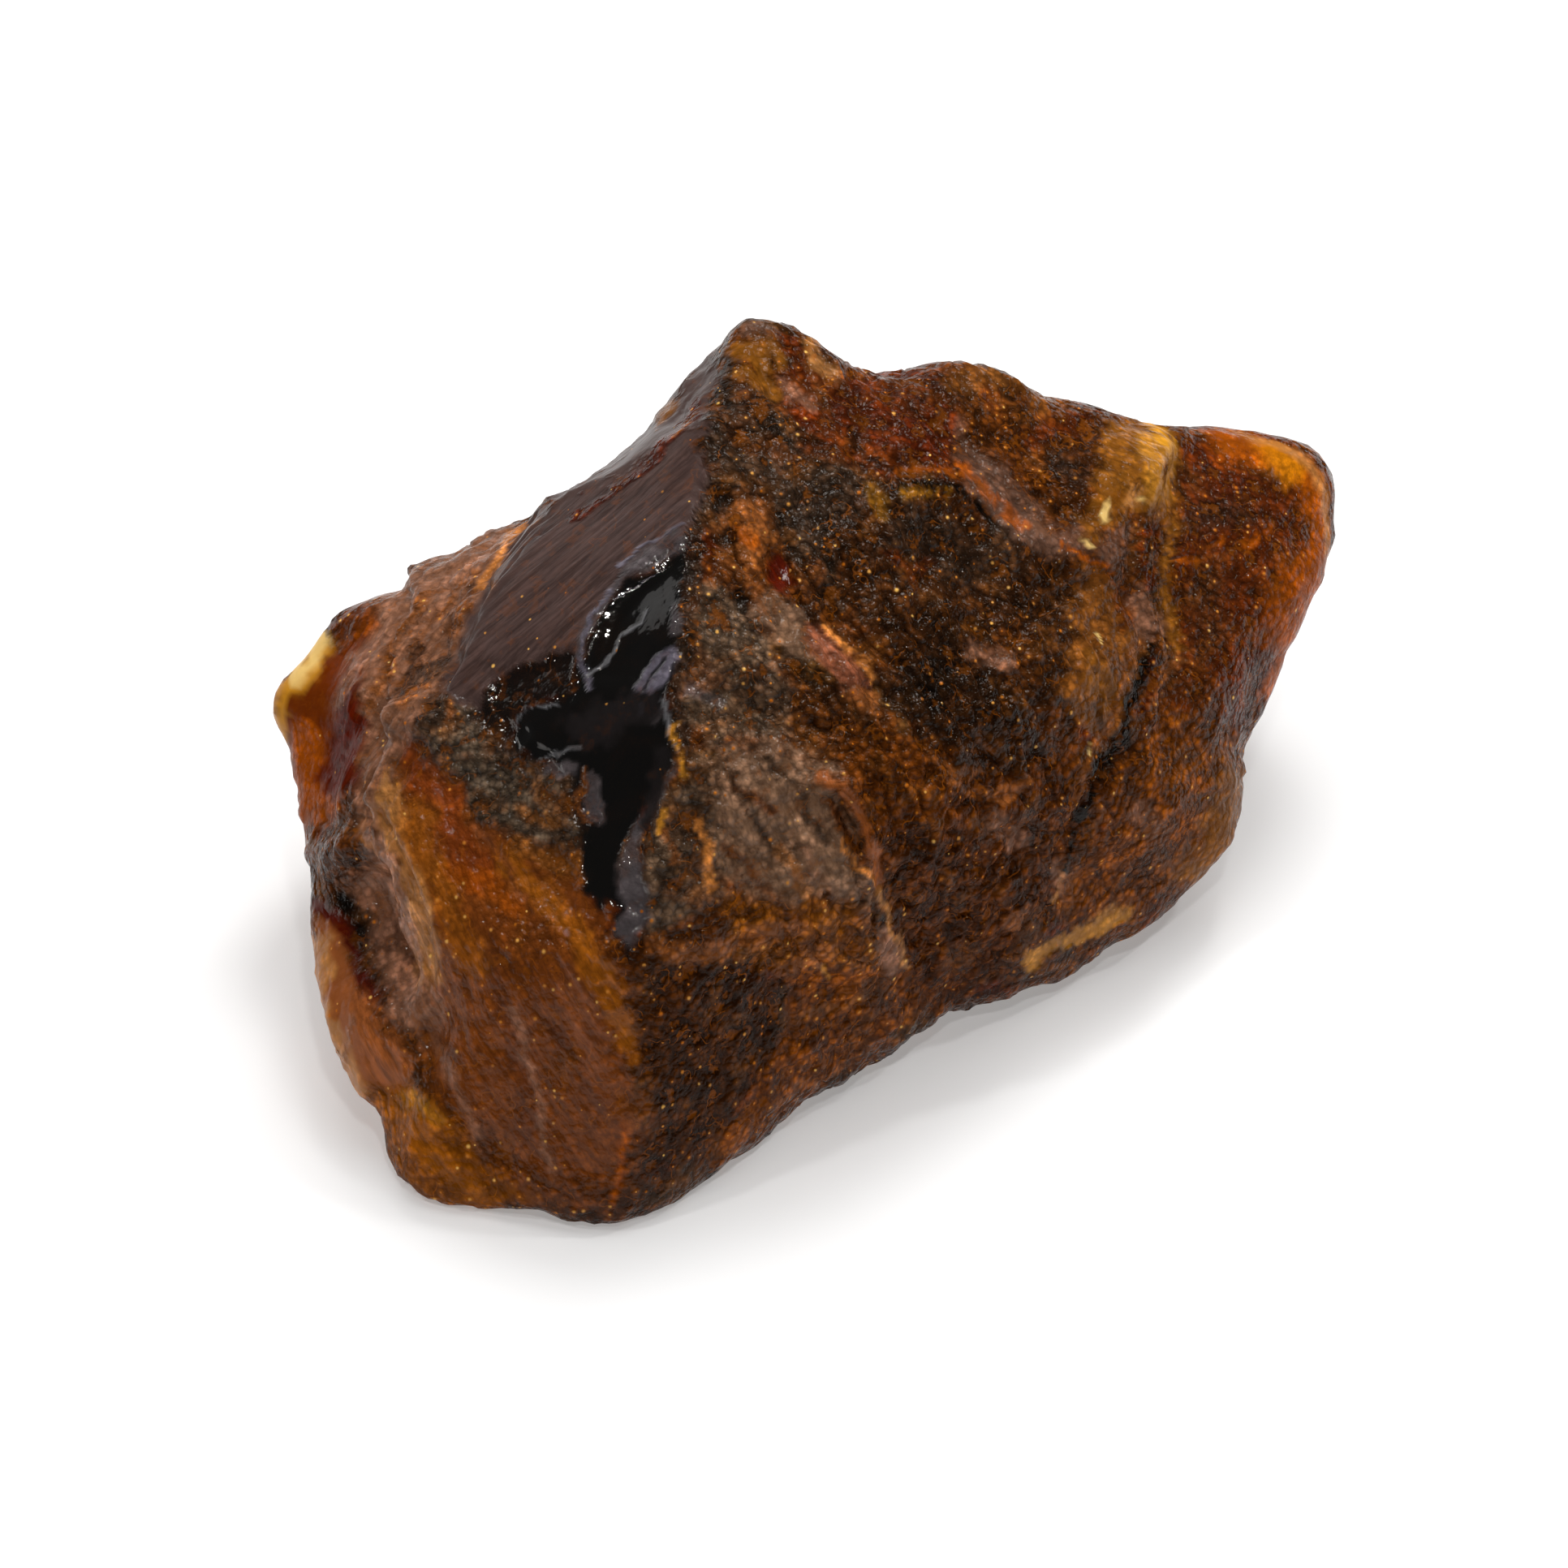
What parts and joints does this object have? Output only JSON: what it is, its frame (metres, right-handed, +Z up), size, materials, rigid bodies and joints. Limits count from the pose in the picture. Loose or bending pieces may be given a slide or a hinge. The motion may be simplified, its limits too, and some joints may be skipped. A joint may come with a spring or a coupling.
{
  "type": "raw amber piece",
  "caption": "Dark raw amber lump with one glassy break, a waxy face and brown crust, resting on a worn flat.",
  "frame": {"origin": "on the table, under the middle of the stone's bounding box", "axes": "+Z up from the flat it rests on, +X along its length, -Y towards the side with the glassy break"},
  "size_m": [0.0692, 0.0598, 0.0374],
  "materials": {
    "amber": "dark brown fossil resin, glossy on breaks, satin on crust, see-through at thin edges"
  },
  "bodies": {
    "root": {"amber": "amber"}
  },
  "joints": []
}
